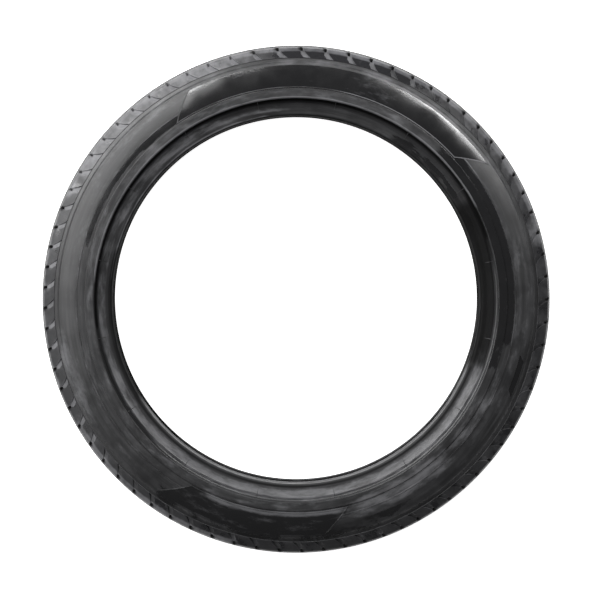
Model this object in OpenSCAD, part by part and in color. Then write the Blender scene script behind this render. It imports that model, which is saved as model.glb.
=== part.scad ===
// Low-profile passenger car tyre, 275/35 R20, moulded in one piece.
// The axis is Z and the origin is the middle of the tyre, which lies on one sidewall.
// Angles round the tyre run clockwise from +Y, as seen from +Z.

/* [Tyre] */
// Nominal width
nominal_w = 275; // [265:1:285]
// Height of the sidewall in percent of the nominal width
aspect = 35; // [32:0.5:40]
// Nominal diameter of the wheel
rim_d = 508; // [482.6:0.1:533.4]
// Width over the two rim protectors
section_w = 278; // [260:0.5:300]
// Radius of the arc across the tread
crown_arc_r = 2250; // [900:50:4000]
// Thickness from the tread face to the air side
crown_t = 15.2; // [13.5:0.1:19]
// Thickness of a sidewall at its widest place
wall_t = 14; // [11:0.1:18]

/* [Shoulder] */
// How far a tread corner lies inside the widest place
corner_in = 18; // [15:0.5:26]
// Rounding of a tread corner
corner_round = 3.5; // [1:0.5:6]
// Height of a shoulder block's side, measured along the radius
block_h = 14; // [10:0.5:17]
// How far the foot of a block's side stands out past the tread corner
block_out = 8.5; // [5:0.5:9.5]
// Height of the plain buttress under the blocks
buttress_h = 8.5; // [4:0.5:12]
// How far the foot of the buttress stands out past the blocks
buttress_out = 3; // [1.5:0.1:4]
// Depth of the small steps above and below the buttress
ring_step = 0.7; // [0.3:0.1:1]
// Fine rings on the buttress
fine_rings = 2; // [0:1:3]
// Height and half width of a fine ring
fine_ring = 0.45; // [0.2:0.05:0.6]

/* [Sidewall] */
// Height of the raised band's lower edge over the wheel's nominal radius
band_h = 47; // [42:0.5:52]
// Height of the two panels' lower edge over the wheel's nominal radius
panel_h = 38; // [35:0.5:41]
// Thickness of the raised band
band_t = 0.5; // [0.3:0.1:0.6]
// Width of the ridge along the lower edge of the band and round the panels
ridge_w = 1.8; // [1:0.1:3]
// Height of that ridge over the sidewall
ridge_t = 1; // [0.7:0.05:1.2]
// Angle that the upper panel starts at
upper_from = -34.4; // [-60:0.1:-20]
// Angle that the upper panel ends at
upper_to = 48; // [30:0.1:70]
// Angle that the lower panel starts at
lower_from = 165.6; // [140:0.1:175]
// Angle that the lower panel ends at
lower_to = 209.4; // [190:0.1:230]
// How far a panel's ends lean clockwise from foot to top, in degrees
panel_lean = 7; // [0:0.5:12]
// Height of the small bare recess's lower edge over the wheel's nominal radius
label_h = 63; // [58:0.5:65]
// Width of that recess, measured along the radius
label_w = 6.8; // [4:0.1:10]
// Angle that the recess starts at, carried down to the panels' lower edge
label_from = 98.4; // [60:0.1:130]
// Angle that the recess ends at, carried down likewise
label_to = 107.6; // [70:0.1:150]

/* [Rim protector and bead] */
// How far the rim protector stands out past the ridges on the sidewall
protector_out = 0.2; // [0.1:0.1:1]
// Width of the gutter between the rim protector and the two panels
gutter_w = 1.5; // [0.5:0.1:3]
// Height of the rim protector's lower edge over the wheel's nominal radius
protector_h = 23; // [21:0.5:26]
// Bevel between the protector's flat face and its lower edge
protector_bevel = 2; // [1:0.5:3]
// Height of the wheel's flange over its nominal radius
flange_h = 17.3; // [15:0.1:18]
// How far the wheel's flange lies inside the rim protector's face
flange_in = 17; // [13:0.5:22]
// Rounding of the bead's heel
heel_round = 8; // [5:0.5:10]
// How much smaller than the wheel the bead's heel is, so that it grips
heel_grip = 0.5; // [0:0.1:1.5]
// How much smaller than the wheel the bead's toe is
toe_grip = 3.2; // [2:0.1:5]
// Width of a bead from the flange to the toe
bead_w = 22; // [18:0.5:25]
// Width of the straight land at the toe, the narrowest place of the hole
toe_land = 3; // [1:0.5:5]

/* [Tread] */
// Depth of the four straight grooves
groove_h = 7.8; // [5:0.1:8.5]
// Width of the two inner straight grooves
inner_groove_w = 12; // [8:0.5:15]
// Distance from the middle to the two inner straight grooves
inner_groove_z = 22; // [18:0.5:26]
// Width of the two outer straight grooves
outer_groove_w = 10; // [7:0.5:13]
// Distance from the middle to the two outer straight grooves
outer_groove_z = 63; // [58:0.5:68]
// Slope of a straight groove's walls
groove_draft = 8; // [0:1:15]
// Wear bars round each straight groove
wear_bars = 8; // [4:1:12]
// Length of a wear bar
wear_bar_l = 12; // [6:1:20]
// Height of a wear bar, the least depth of tread that is left when it shows
wear_bar_h = 1.6; // [1:0.1:2]
// Cross grooves round each shoulder
cross_grooves = 74; // [60:1:84]
// How far the cross grooves swing from even spacing, in degrees
pitch_swing = 1.4; // [0:0.1:1.6]
// Angle of the first cross groove
pitch_from = 1; // [-3:0.1:3]
// Width of a cross groove
cross_w = 3.2; // [2:0.1:4.5]
// Depth of a cross groove in the tread
cross_h = 6.2; // [4:0.1:7.5]
// Slant of a cross groove from straight across
cross_slant = 12; // [0:1:25]
// How far a cross groove reaches down the block's side, measured along the radius
cross_foot_h = 4.5; // [2:0.5:7]
// Rib left between an outer straight groove and the cross grooves
cross_gap = 7; // [3:0.5:15]
// Width of the fin-shaped opening of a cross groove at the foot of the block's side
fin_w = 14; // [8:0.5:18]
// Depth of that opening along its curved edge
fin_h = 2.2; // [1:0.1:3.5]
// Length of the slanted slots in the ribs beside the shoulders
rib_slot_l = 24; // [10:0.5:28]
// Width of a rib slot
rib_slot_w = 2.4; // [1.5:0.1:3.5]
// Depth of a rib slot
rib_slot_h = 5.5; // [3:0.1:7]
// Slant of a rib slot from straight across
rib_slant = 40; // [20:1:55]

/* [Hidden] */
$fn = 96;
arc_step = 12; // degrees between the points of a rounding
over = 2; // how far a cutter reaches past the surface

outer_r = rim_d / 2 + nominal_w * aspect / 100;
half_w = section_w / 2;
corner_z = half_w - corner_in;
corner_r = tread_r(corner_z);
block_foot_r = corner_r - block_h;
block_foot_z = corner_z + block_out;
side_tilt = atan(block_out / block_h);
wall_top_r = block_foot_r - buttress_h;
wall_top_z = block_foot_z + buttress_out;
wall_z = half_w - protector_out - ridge_t;
band_r = rim_d / 2 + band_h;
panel_r = rim_d / 2 + panel_h;
protector_top_r = panel_r - gutter_w;
protector_r = rim_d / 2 + protector_h;
flange_r = rim_d / 2 + flange_h;
flange_z = half_w - flange_in;
heel_r = rim_d / 2 - heel_grip;
toe_r = rim_d / 2 - toe_grip;
toe_z = flange_z - bead_w;
liner_r = outer_r - crown_t;

// Radius of the tread's surface at a distance from the middle
function tread_r(z) = outer_r - z * z / (2 * crown_arc_r);

// Height of the sidewall at a radius: flat beside the rim protector, then curving in to the buttress
function wall_height(r) =
    wall_z - (wall_z - wall_top_z) * pow((r - panel_r) / (wall_top_r - panel_r), 2);

// Angle of cross groove i: even spacing with four slow swings, which break up the tread's hum
function pitch_angle(i) = let (a = 360 * i / cross_grooves)
    a + pitch_from + pitch_swing * (sin(a + 5) + 0.85 * sin(2 * a - 40)
                                    + 0.85 * sin(3 * a + 70) + 0.6 * sin(4 * a - 15));

// Points of the arc that rounds corner b between points a and c, no longer than its sides allow
function rounded_corner(a, b, c, r) =
    let (u = (a - b) / norm(a - b), v = (c - b) / norm(c - b), half = acos(u * v) / 2,
         reach = min(r / tan(half), 0.48 * norm(a - b), 0.48 * norm(c - b)),
         middle = b + (u + v) / norm(u + v) * reach / cos(half),
         from = b + u * reach - middle, turn = 180 - 2 * half,
         way = sign(u[1] * v[0] - u[0] * v[1]), steps = ceil(turn / arc_step))
    [for (k = [0 : steps]) let (t = way * turn * k / steps)
        middle + [from[0] * cos(t) - from[1] * sin(t), from[0] * sin(t) + from[1] * cos(t)]];

// A path of [radius, height, rounding] corners as plain points
function smooth(path) =
    let (p = [for (q = path) [q[0], q[1]]])
    [for (i = [0 : len(path) - 1])
        each path[i][2] == 0 ? [p[i]] : rounded_corner(p[i - 1], p[i], p[i + 1], path[i][2])];

// Small peaked rings on the straight buttress that runs from a to b
function ring_peaks(a, b) =
    let (along = (b - a) / norm(b - a), out = [-along[1], along[0]])
    [for (k = [1 : 1 : fine_rings], side = [-1, 0, 1])
        let (p = a + (b - a) * (0.5 + 0.15 * k) + along * side * fine_ring
                 - out * (side == 0 ? fine_ring : 0))
        [p[0], p[1], 0]];

buttress_from = [block_foot_r - ring_step, block_foot_z - ring_step / 2];
buttress_to = [wall_top_r + ring_step, wall_top_z + band_t];

// Outline from the middle of the tread over the shoulder and sidewall to the bead's toe
outer_path = concat(
    [for (k = [0 : 7]) let (z = corner_z * k / 8) [tread_r(z), z, 0]],
    [[corner_r, corner_z, corner_round],
     [block_foot_r, block_foot_z, 0.6],
     [buttress_from[0], buttress_from[1], 0]],
    ring_peaks(buttress_from, buttress_to),
    [[buttress_to[0], buttress_to[1], 0.8]],
    [for (k = [8 : -1 : 0]) let (r = panel_r + (wall_top_r - panel_r) * k / 8)
        [r, wall_height(r), 0]],
    [[protector_top_r, wall_z, 0.3],
     [protector_top_r, half_w, 0.4],
     [protector_r + protector_bevel, half_w, 1],
     [protector_r, half_w - protector_bevel, 0.5],
     [flange_r + 0.5, flange_z + 3.5, 2.5],
     [flange_r - 3, flange_z + 1, 6],
     [heel_r, flange_z, heel_round],
     [toe_r, toe_z + toe_land, 0],
     [toe_r, toe_z, 0]]);

// Outline of the air side from the toe back to the middle
liner_path = [
    [toe_r + 1.5, toe_z - 1.5, 1],
    [flange_r - 6, toe_z + 3.5, 14],
    [panel_r, half_w - wall_t, 24],
    [wall_top_r - 2, half_w - wall_t - 1, 24],
    [liner_r - 1, corner_z - 20, 26],
    [liner_r, corner_z - 55, 200],
    [liner_r, 0, 0]];

// Section of the tyre to one side of its middle
module half_section() {
    polygon(smooth(concat(outer_path, liner_path)));
}

// Section of a straight groove, wider at its mouth
module straight_groove(w, z) {
    draft = groove_h * tan(groove_draft);
    foot = tread_r(z) - groove_h;
    mouth = tread_r(z) + over;
    polygon([[foot, z - w / 2 + draft], [mouth, z - w / 2],
             [mouth, z + w / 2], [foot, z + w / 2 - draft]]);
}

// Whole cross section, to the right of the axis
module section() {
    difference() {
        union() {
            half_section();
            mirror([0, 1]) half_section();
        }
        for (side = [-1, 1]) {
            straight_groove(inner_groove_w, side * inner_groove_z);
            straight_groove(outer_groove_w, side * outer_groove_z);
        }
    }
}

// Low bars across the floor of a straight groove
module groove_wear_bars(w, z) {
    for (i = [0 : wear_bars - 1]) rotate(360 * (i + 0.5) / wear_bars)
        translate([tread_r(z) - groove_h - over, -wear_bar_l / 2, z - w / 2])
            cube([over + wear_bar_h, wear_bar_l, w]);
}

// Thin ring that follows the sidewall from a radius up to the buttress and stands out by t
module wall_skin(from, t) {
    rs = [for (k = [0 : 8]) from + (wall_top_r - from) * k / 8];
    rotate_extrude()
        polygon(concat([for (r = rs) [r, wall_height(r) + t]],
                       [for (k = [8 : -1 : 0]) [rs[k], wall_height(rs[k]) - over]]));
}

// Flat ring between two radii
module flat_ring(low, high) {
    difference() {
        circle(high);
        circle(low);
    }
}

// Wedge between two angles whose edges lean clockwise outwards, drawn in by a trim at each edge
module leaning_wedge(from, to, trim) {
    height = wall_top_r - panel_r;
    lean_slope = panel_lean * PI / 180 * panel_r / height;
    turn = trim * sqrt(1 + pow(lean_slope, 2)) * 180 / (PI * panel_r);
    steps = ceil((to - from) / 10);
    function at(k, r) =
        let (a = from + turn + (to - from - 2 * turn) * k / steps + panel_lean * (r - panel_r) / height)
        r * [sin(a), cos(a)];
    polygon(concat([for (k = [0 : steps]) at(k, panel_r - height)],
                   [for (k = [steps : -1 : 0]) at(k, wall_top_r + height)]));
}

// Outline of the two name panels, whose lower and end edges are drawn in by a trim
module panels(trim) {
    intersection() {
        flat_ring(panel_r + trim, wall_top_r - over);
        union() {
            leaning_wedge(upper_from, upper_to, trim);
            leaning_wedge(lower_from, lower_to, trim);
        }
    }
}

// Outline of the small bare recess, whose ends lean like those of the panels
module label() {
    intersection() {
        flat_ring(rim_d / 2 + label_h, rim_d / 2 + label_h + label_w);
        leaning_wedge(label_from, label_to, 0);
    }
}

// Raised band of a sidewall, with the small recess in it and its two panels, which reach lower
module raised_band() {
    difference() {
        wall_skin(band_r, band_t);
        linear_extrude(section_w) label();
    }
    intersection() {
        wall_skin(panel_r, band_t);
        linear_extrude(section_w) panels(0);
    }
}

// Ridge along the lower edge of the band and round the panels
module band_ridge() {
    intersection() {
        wall_skin(panel_r, ridge_t);
        linear_extrude(section_w) {
            difference() {
                flat_ring(band_r, band_r + ridge_w);
                panels(0);
            }
            difference() {
                panels(0);
                panels(ridge_w);
            }
        }
    }
}

// Cutter of a cross groove, at +X, from the shoulder rib over the tread corner
module cross_groove() {
    start = outer_groove_z + outer_groove_w / 2 + cross_gap;
    mouth = corner_r + 3 * over;
    translate([0, cross_w / 2, corner_z]) rotate([cross_slant, 0, 0]) rotate([90, 0, 0])
        linear_extrude(cross_w)
            translate([0, -corner_z])
                polygon([[mouth, start], [tread_r(start), start],
                         [tread_r(start) - cross_h, start + cross_h],
                         [corner_r - cross_h, corner_z - 2 * cross_h],
                         [corner_r - cross_foot_h, corner_z + cross_foot_h * tan(side_tilt)],
                         [mouth, corner_z + cross_foot_h + over]]);
}

// Cutter of the fin-shaped opening of a cross groove. Its floor starts level with the block's
// side at the straight edge and is deepest along the curved one.
module fin() {
    side_l = block_h / cos(side_tilt);
    edge = cross_w / 2;
    curve = [for (t = [0 : 0.25 : 1]) [t * side_l, edge + (fin_w - cross_w) * pow(t, 1.6)]];
    translate([corner_r, 0, corner_z]) rotate([0, side_tilt, 0]) rotate([0, 0, 180])
        rotate([-atan(fin_h / fin_w), 0, 0])
            translate([0, 0, -0.4])
                linear_extrude(3 * over)
                    polygon(concat([[-over, -edge], [-over, edge]], curve,
                                   [[0.95 * side_l, edge + 1], [0.6 * side_l, -edge]]));
}

// Cutter of a slanted slot in the rib beside a shoulder, open to the outer straight groove
module rib_slot() {
    length = rib_slot_l + outer_groove_w / 2;
    translate([tread_r(outer_groove_z) - rib_slot_h, 0, outer_groove_z]) rotate([-rib_slant, 0, 0])
        translate([0, -rib_slot_w / 2, -length])
            cube([rib_slot_h + 3 * over, rib_slot_w, length]);
}

// Cutters of one half of the tread
module tread_cutters() {
    for (i = [0 : cross_grooves - 1]) rotate(90 - pitch_angle(i)) {
        cross_groove();
        fin();
        rib_slot();
    }
}

module tyre() {
    color("#26272a")
        difference() {
            union() {
                rotate_extrude() section();
                for (turn = [0, 180]) rotate([turn, 0, 0]) {
                    raised_band();
                    band_ridge();
                    groove_wear_bars(inner_groove_w, inner_groove_z);
                    groove_wear_bars(outer_groove_w, outer_groove_z);
                }
            }
            for (turn = [0, 180]) rotate([turn, 0, 0]) tread_cutters();
        }
}

tyre();
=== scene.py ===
"""Looks of a low-profile car tyre that lies flat on one sidewall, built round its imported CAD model.

Lengths in the formulas are millimetres and angles are degrees, clockwise from +Y as seen from +Z.
"""

import math
from collections import namedtuple

import bpy
import numpy as np
from bpy.props import FloatProperty, IntProperty, PointerProperty, StringProperty
from mathutils import Matrix, Vector


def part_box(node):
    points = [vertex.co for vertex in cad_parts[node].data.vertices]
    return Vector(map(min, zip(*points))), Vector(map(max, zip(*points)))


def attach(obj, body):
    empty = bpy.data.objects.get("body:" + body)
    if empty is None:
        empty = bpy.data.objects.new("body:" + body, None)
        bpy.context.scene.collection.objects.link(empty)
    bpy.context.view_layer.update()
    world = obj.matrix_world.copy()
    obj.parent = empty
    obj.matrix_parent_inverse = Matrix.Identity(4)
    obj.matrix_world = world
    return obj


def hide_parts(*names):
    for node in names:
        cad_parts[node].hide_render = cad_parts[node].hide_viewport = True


bl_info = {
    "name": "Low-profile car tyre",
    "version": (1, 0, 0),
    "blender": (4, 5, 0),
    "location": "3D View > Sidebar > Tyre",
    "description": "Moulded rubber car tyre with grooved tread, sidewalls and beads",
    "category": "Object",
}

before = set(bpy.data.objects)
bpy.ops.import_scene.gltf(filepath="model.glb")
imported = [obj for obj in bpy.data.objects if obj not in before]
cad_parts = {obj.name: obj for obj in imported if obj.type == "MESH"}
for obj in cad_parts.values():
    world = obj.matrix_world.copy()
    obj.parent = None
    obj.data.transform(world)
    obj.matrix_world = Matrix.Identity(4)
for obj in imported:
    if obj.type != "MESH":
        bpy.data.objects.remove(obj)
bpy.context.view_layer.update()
CAD_LOW, CAD_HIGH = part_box("tyre")
NODE, BODY, SLOT = "tyre", "root", "rubber_black"
MM = 0.001
TINY = 1e-6  # keeps a comparison clear of rounding


# Sizes and colours

class TyreSizes(bpy.types.PropertyGroup):
    """Overall sizes of the tyre."""

    outer_radius: FloatProperty(
        name="Outer radius", description="Radius at the middle of the tread",
        default=CAD_HIGH.x, unit="LENGTH")
    half_width: FloatProperty(
        name="Half width", description="Distance from the middle to the rim protector's flat face",
        default=CAD_HIGH.z, unit="LENGTH")
    wheel_radius: FloatProperty(
        name="Wheel radius", description="Nominal radius of the wheel",
        default=0.254, unit="LENGTH")
    crown_arc: FloatProperty(
        name="Crown arc", description="Radius of the arc across the tread",
        default=2.25, unit="LENGTH")
    corner_inset: FloatProperty(
        name="Corner inset", description="How far a tread corner lies inside the widest place",
        default=0.018, unit="LENGTH")


class TyreTread(bpy.types.PropertyGroup):
    """Pattern of the tread and its shoulder blocks."""

    pitches: IntProperty(
        name="Pitches", description="Cross grooves round each shoulder", default=74, min=12)
    pitch_swing: FloatProperty(
        name="Pitch swing", description="How far the cross grooves swing from even spacing",
        default=math.radians(1.4), subtype="ANGLE")
    pitch_start: FloatProperty(
        name="Pitch start", description="Angle of the first cross groove",
        default=math.radians(1.0), subtype="ANGLE")
    groove_depth: FloatProperty(
        name="Groove depth", description="Depth of the straight grooves",
        default=0.0078, unit="LENGTH")
    cross_depth: FloatProperty(
        name="Cross groove depth", description="Depth of the cross grooves in the tread",
        default=0.0062, unit="LENGTH")
    cross_width: FloatProperty(
        name="Cross groove width", description="Width of the cross grooves",
        default=0.0032, unit="LENGTH")
    fin_width: FloatProperty(
        name="Fin width", description="Width of the fin-shaped opening on a block's side",
        default=0.014, unit="LENGTH")
    fin_depth: FloatProperty(
        name="Fin depth", description="Depth of the fin-shaped opening along its curved edge",
        default=0.0022, unit="LENGTH")


class TyreRubber(bpy.types.PropertyGroup):
    """Colours of the rubber."""

    tread_colour: StringProperty(
        name="Tread colour", description="Tread compound, sRGB hex value", default="#1d1d1f")
    wall_colour: StringProperty(
        name="Sidewall colour", description="Sidewall compound, sRGB hex value", default="#161617")
    # the film's colour, used for dust and also for painted light
    haze_and_light_colour: StringProperty(
        name="Haze colour", description="Dull film on the rubber, sRGB hex value", default="#7c7c7f")
    liner_colour: StringProperty(
        name="Liner colour", description="Air side, sRGB hex value", default="#1a1a1b")


class TyreStudio(bpy.types.PropertyGroup):
    """Floor, lights and camera."""

    floor_colour: StringProperty(
        name="Floor colour", description="Floor, sRGB hex value", default="#f6f6f6")
    camera_distance: FloatProperty(
        name="Camera distance", description="From the middle of the tyre to the camera",
        default=25.0, unit="LENGTH")
    camera_tilt: FloatProperty(
        name="Camera tilt", description="How far the camera leans from the tyre's axis",
        default=math.radians(0.6), subtype="ANGLE")
    world_strength: FloatProperty(
        name="World strength", description="Brightness of the surroundings", default=0.12)
    floor_glow: FloatProperty(
        name="Floor glow", description="Brightness of the light table under the floor", default=1.05)


# Wear that the photo shows, with painted light and painted shade, as patches: start and end angle,
# inner and outer radius, strength, fade.
# Along the radius an edge fades over twice the fade, and along the circle over END_FADE degrees and
# one more for each millimetre of the fade. Where patches overlap, the strongest counts.

END_FADE = 7.0

# shoulder blocks: polished sides; dusty sides, with painted light along the tread's lit corner; painted
# light in the cross grooves' ends; dusty fins, with painted light on their shaded walls
BLOCK_GLOSS = ((-14, 43, 330, 350, 1.0, 6), (30, 360, 330, 350, 0.5, 6))
BLOCK_DUST_AND_LIGHT = (
    (36, 68, 333, 346, 0.35, 3), (67, 80, 333, 346, 0.5, 3), (182, 304, 344.5, 352, 0.5, 1.5),
    (190, 246, 340.5, 352, 0.85, 1.5), (225, 322, 333, 350, 0.2, 3), (288, 442, 341.5, 352, 0.75, 2),
    (292, 352, 331, 352, 0.6, 3))
CROSS_GROOVE_PAINTED_LIGHT = ((290, 354, 330, 352, 0.9, 3),)
FIN_DUST_AND_LIGHT = ((42, 218, 320, 350, 0.3, 10), (218, 402, 320, 350, 0.85, 20))

# sidewall: rubbed places; dust and painted light; dull places and painted shade; and a lighter colour
# on the ridges alone
WALL_GLOSS = (
    (26, 116, 254, 268, 0.7, 2), (40, 114, 278, 291, 0.9, 2), (-50, -26, 292, 300.5, 1.0, 1),
    (43, 106, 290, 300.5, 1.0, 1), (280, 322, 294, 300.5, 1.0, 2), (140, 226, 311, 334, 0.55, 6))
WALL_DUST_AND_LIGHT = (
    # bead: painted light, mostly on its lower side, which faces the lights
    (106, 242, 249, 253.5, 0.8, 1), (272, 356, 254.5, 257.5, 1.0, 0.6),
    # slope under the rim protector: painted light on its lower side, which faces the lights, and in its
    # shade at the upper left
    (100, 236, 261.5, 273, 0.85, 1), (214, 264, 262, 273, 0.85, 2), (246, 328, 262, 273, 0.6, 2),
    (290, 362, 261.5, 264, 0.9, 0.6), (-116, -22, 268.5, 274, 0.7, 1), (103, 230, 272, 278, 0.5, 1),
    # rim protector: a painted highlight along its lower edge, and dust on its face
    (-88, 66, 277, 280.2, 1.2, 0.3), (-20, 46, 279, 290, 0.5, 2), (108, 278, 279, 290, 0.45, 2),
    (258, 355, 279, 290, 0.5, 2),
    # sidewall
    (128, 172, 284, 312, 0.8, 5), (220, 322, 284, 322, 0.28, 5), (104, 144, 290, 302, 0.6, 4),
    (161, 212, 291, 299, 0.9, 2.5), (214, 264, 291, 306, 0.32, 4), (8, 36, 295, 322, 0.42, 6),
    (158, 218, 298, 322, 0.3, 5), (62, 140, 300, 324, 0.4, 5), (294, 354, 316, 333, 0.55, 4),
    (232, 268, 317, 333, 0.7, 5), (-14, 66, 322, 331, 0.6, 3))
WALL_MATT_AND_SHADE = (
    # bead: painted shade on the heel and where the bead faces away from the lights, and dull places
    (-128, 112, 249, 256, 0.9, 1), (54, 116, 251, 273, 0.92, 1), (-8, 56, 253.5, 258.5, 0.4, 1),
    (104, 292, 254.5, 260.5, 0.88, 1), (220, 330, 257.5, 262, 0.9, 1),
    # slope under the rim protector: painted shadow under the protector's edge over the top, and dull
    # places
    (-32, 82, 269, 274, 0.6, 1), (-112, -18, 269, 274, 0.25, 1), (-140, 84, 273.5, 277.6, 0.8, 0.4),
    (-104, 78, 273.5, 277.6, 1.0, 0.4),
    # start of the lower panel
    (158, 174, 294, 325, 0.55, 1))
RIDGE_LIGHTENING = ((60, 420, 285, 310, 0.5, 1), (60, 420, 310, 330, 0.15, 2), (8, 62, 288, 330, 1.3, 2))


# Shapes

SHARP_ANGLE = 30.0  # edges that turn more than this stay crisp
SIDE_SHARE = 0.48  # the most of a side that a rounding uses up


def rounded(corners, step):
    """Plain path of [radius, height] points from [radius, height, rounding] corners.

    A rounded corner becomes the arc that touches both its sides, in steps of about step degrees.
    """
    path = []
    for i, (radius, height, rounding) in enumerate(corners):
        b = np.array([radius, height], float)
        if rounding == 0:
            path.append(b[None])
            continue
        a, c = np.array(corners[i - 1][:2], float), np.array(corners[i + 1][:2], float)
        la, lc = np.linalg.norm(a - b), np.linalg.norm(c - b)
        u, v = (a - b) / la, (c - b) / lc
        half = math.acos(float(u @ v)) / 2
        reach = min(rounding / math.tan(half), SIDE_SHARE * la, SIDE_SHARE * lc)
        middle = b + (u + v) / np.linalg.norm(u + v) * reach / math.cos(half)
        start = b + u * reach - middle
        turn = math.pi - 2 * half
        steps = max(1, math.ceil(math.degrees(turn) / step))
        t = np.sign(u[1] * v[0] - u[0] * v[1]) * turn * np.arange(steps + 1) / steps
        arc = np.stack([start[0] * np.cos(t) - start[1] * np.sin(t),
                        start[0] * np.sin(t) + start[1] * np.cos(t)], 1)
        path.append(middle + arc)
    return np.concatenate(path)


def smoothstep(x, low, high):
    """0 below low, 1 above high and a smooth rise between."""
    t = np.clip((x - low) / (high - low), 0, 1)
    return t * t * (3 - 2 * t)


def apart(a, b):
    """Distance between two angles in degrees, the short way round."""
    return np.abs((a - b + 180) % 360 - 180)


def patches(angle, radius, table):
    """Strength of soft-edged patches: each rises and falls smoothly along the circle and the radius."""
    total = np.zeros(np.broadcast(angle, radius).shape)
    for start, end, low, high, strength, fade in table:
        turn, span = (angle - start) % 360, end - start
        soft = min(END_FADE + fade, span / 2)
        along = smoothstep(turn, 0, soft) * (1 - smoothstep(turn, span - soft, span))
        up = smoothstep(radius, low - fade, low + fade)
        up = up * (1 - smoothstep(radius, high - fade, high + fade))
        total = np.maximum(total, strength * along * up)
    return total


def turned_half(points, order):
    """The tyre's other half: each point turned half round the X axis, its columns put in order."""
    return (points * [1, -1, -1])[:, order]


def ring_points(radius, angle, height):
    """x, y, z arrays from a radius, a clockwise angle in degrees and a height."""
    a = np.radians(angle)
    return np.stack(np.broadcast_arrays(radius * np.sin(a), radius * np.cos(a), height), -1)


def closed_grid(name, points, attributes):
    """Mesh object of a grid of points that closes on itself both ways, with its faces outwards.

    points is [row, column, 3] in millimetres, and attributes maps a name to a value for each point.
    """
    rows, columns = points.shape[:2]
    index = np.arange(rows * columns).reshape(rows, columns)
    down, right = np.roll(index, -1, 0), np.roll(index, -1, 1)
    quads = np.stack([index, down, np.roll(down, -1, 1), right], -1).reshape(-1, 4)
    flat = points.reshape(-1, 3) * MM
    a, b, c, d = (flat[quads[:, k]] for k in range(4))
    volume = np.einsum("ij,ij->", np.cross(a, b), c) + np.einsum("ij,ij->", np.cross(a, c), d)
    if volume < 0:
        quads = quads[:, ::-1]
    mesh = bpy.data.meshes.new(name)
    mesh.from_pydata(flat, [], quads)
    mesh.polygons.foreach_set("use_smooth", np.ones(len(quads), bool))
    for key, values in attributes.items():
        layer = mesh.attributes.new(key, "FLOAT", "POINT")
        layer.data.foreach_set("value", np.ascontiguousarray(values, np.float32).ravel())
    mesh.update()
    mesh.set_sharp_from_angle(angle=math.radians(SHARP_ANGLE))
    piece = bpy.data.objects.new(name, mesh)
    bpy.context.scene.collection.objects.link(piece)
    return piece


def join_frame(piece):
    """Puts a finished piece on the tyre's body, in place of its CAD solid."""
    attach(piece, BODY)
    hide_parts(NODE)


# Tread

OUTER_GROOVE, INNER_GROOVE = (63.0, 10.0), (22.0, 12.0)  # distance from the middle, width
GROOVE_DRAFT = 8.0
GROOVE_MOUTH, GROOVE_FILLET = 0.45, 1.1  # bevel at a straight groove's mouth, rounding of its floor
FILLET_START = 0.85  # share of its depth where that rounding begins
CUTTER_REACH = 2.0  # a straight groove has its full width this far above the tread
BAR_COUNT, BAR_LENGTH, BAR_HEIGHT = 8, 12.0, 1.6  # wear bars
CROSS_START, CROSS_SLANT = 75.0, 12.0  # where the cross grooves begin, and their slant
SLOT_SLANT, SLOT_WIDTH, SLOT_DEPTH = 40.0, 2.4, 5.5  # slots in the ribs
SLOT_END, SLOT_MOUTH = 40.8, 58.0  # where a slot begins and where it meets the outer groove
SLOT_ROWS_END = 66.0  # rows below this follow the slots, the others the cross grooves
CUT_WALL = 0.15  # what a steep wall takes of a cut's width
BLOCK_H, BLOCK_OUT = 14.0, 8.5  # side of a shoulder block, along the radius and outwards
BUTTRESS_H, BUTTRESS_OUT = 8.5, 3.0  # plain buttress under the blocks, likewise
CORNER_ROUND = 3.5
SIDE_OPEN = 4.5  # how far a cross groove reaches down the block's side
OPEN_SHARE = SIDE_OPEN / BLOCK_H
FIN_CURVE = 1.6  # power of a fin's curved edge
FIN_LIP = 0.7  # width of the wall along a fin's edges
FIN_TURN, FIN_TIP = 0.6, 0.95  # shares of the side where a fin's straight edge leans over and ends
FIN_SHALLOW, FIN_LEAST = 0.4, 0.1  # a fin's depth at its middle line, and its least
FIN_BEGINS = 0.15, 0.32  # shares of the side over which a cross groove's floor becomes the fin's
STEP = 0.7  # small step under the blocks
COLUMNS, CUT_COLUMNS = 12, 6  # mesh columns in each pitch, and those that follow the cut
FLOOR = slice(1, 3)  # columns on a cut's floor
CUT = slice(0, 4)  # columns from edge to edge of a cross groove
MIDDLE_ROW, LAST_ROW = 8.0, 114.0  # first and last row of the tread's face
SHOULDER = 100.0  # where the finish of the shoulder begins
EVEN_TO, SPREAD = 40.0, (29.0, 40.0)  # the columns come to even spacing towards the middle
FACE_MATT = 0.6  # of the tread's face

Rows = namedtuple("Rows", "z r down side deep slot cross")  # see tread_rows


def tread_radius(sizes, z):
    """Radius of the tread's face: the crown's arc, as a parabola."""
    return sizes.outer_radius / MM - z * z / (2 * sizes.crown_arc / MM)


def shoulder(sizes):
    """[radius, height] of the tread corner, of the foot of the blocks and of the sidewall's top."""
    corner_z = (sizes.half_width - sizes.corner_inset) / MM
    corner = np.array([tread_radius(sizes, corner_z), corner_z])
    foot = corner + [-BLOCK_H, BLOCK_OUT]
    return corner, foot, foot + [-BUTTRESS_H, BUTTRESS_OUT]


def groove_angle(tread, x):
    """Angle of cross groove x: even spacing with four slow swings. x may lie between two grooves."""
    a = np.radians(360.0 * x / tread.pitches)
    swing = (np.sin(a + math.radians(5)) + 0.85 * np.sin(2 * a - math.radians(40))
             + 0.85 * np.sin(3 * a + math.radians(70)) + 0.6 * np.sin(4 * a - math.radians(15)))
    return np.degrees(a + tread.pitch_start + tread.pitch_swing * swing)


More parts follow.
